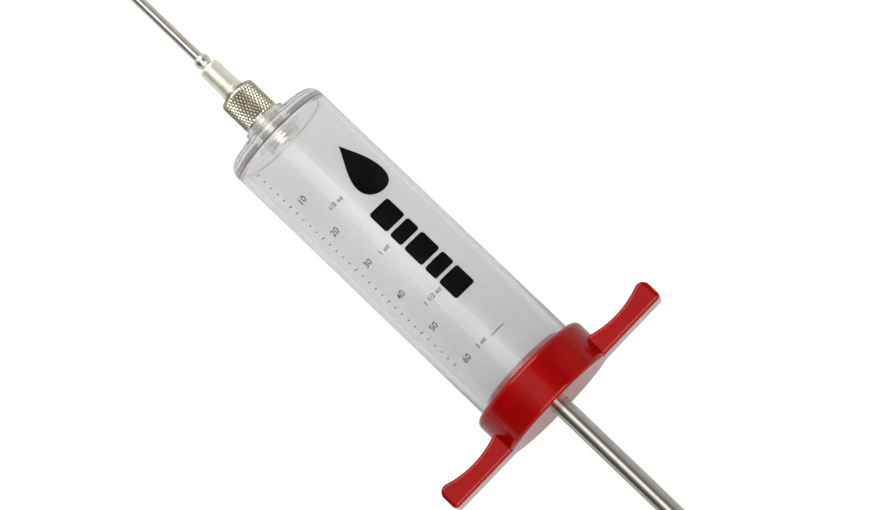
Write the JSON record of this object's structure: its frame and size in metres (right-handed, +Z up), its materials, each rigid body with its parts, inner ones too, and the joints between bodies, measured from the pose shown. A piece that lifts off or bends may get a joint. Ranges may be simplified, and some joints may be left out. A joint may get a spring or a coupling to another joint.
{
  "type": "meat injector",
  "caption": "Hand-operated brine and marinade injector: clear graduated barrel, finger-grip cap, rod plunger with thumb button, and a closed-point needle on a knurled union nut.",
  "frame": {"origin": "bottom centre of the lying object: on the surface it lies on, under the middle of its length, on its axis", "axes": "+X along the axis towards the needle tip, the finger wings reach along +Y and -Y, +Z up"},
  "size_m": [0.3922, 0.0856, 0.0416],
  "materials": {
    "clear_plastic": "clear polished polycarbonate",
    "clear_washer": "clear silicone",
    "white_gasket": "white silicone",
    "black_rubber": "greased black rubber",
    "red_plastic": "glossy moulded",
    "white_nylon": "turned nylon",
    "nickel": "nickel-plated brass, bright",
    "stainless": "drawn stainless steel, bright",
    "plated_rod": "nickel-plated steel, polished",
    "brass": "machined"
  },
  "bodies": {
    "barrel": {"barrel": "clear_plastic", "outlet_nipple": "nickel", "outlet_washer": "clear_washer"},
    "needle": {"needle_tube": "stainless", "needle_point": "stainless", "needle_bead": "nickel", "needle_hub": "nickel", "needle_gasket": "white_gasket"},
    "union_nut": {"knurled_nut": "nickel"},
    "cap_seal": {"cap_gasket": "white_gasket"},
    "grip_cap": {"finger_grip_cap": "red_plastic"},
    "piston_rings": {"piston_front_ring": "black_rubber", "piston_rear_ring": "black_rubber"},
    "plunger": {"plunger_rod": "plated_rod", "thumb_button": "red_plastic", "button_insert": "brass", "piston_head": "red_plastic", "piston_core": "white_nylon", "piston_back_plate": "red_plastic", "piston_lock_washer": "stainless", "piston_nut": "stainless"}
  },
  "joints": [
    {"name": "plunger_slide", "type": "slide", "parent": "barrel", "child": "piston_rings", "axis": [1, 0, 0], "range_m": [0, 0.097]},
    {"name": "plunger_spin", "type": "hinge", "parent": "piston_rings", "child": "plunger", "pos_m": [-0.06323, 0, 0.0208], "axis": [1, 0, 0], "continuous": true},
    {"name": "needle_release", "type": "slide", "parent": "barrel", "child": "needle", "axis": [1, 0, 0], "range_m": [0, 0.00813]},
    {"name": "nut_turn", "type": "hinge", "parent": "needle", "child": "union_nut", "pos_m": [0.05318, 0, 0.0208], "axis": [1, 0, 0], "range_deg": [0, 2340]},
    {"name": "cap_release", "type": "slide", "parent": "barrel", "child": "cap_seal", "axis": [-1, 0, 0], "range_m": [0, 0.01051]},
    {"name": "cap_turn", "type": "hinge", "parent": "cap_seal", "child": "grip_cap", "pos_m": [-0.06623, 0, 0.0208], "axis": [-1, 0, 0], "range_deg": [0, 1260]}
  ],
  "couplings": [
    {"joint": "needle_release", "follows": "nut_turn", "m_per_rad": 0.00019894},
    {"joint": "cap_release", "follows": "cap_turn", "m_per_rad": 0.00047746}
  ]
}
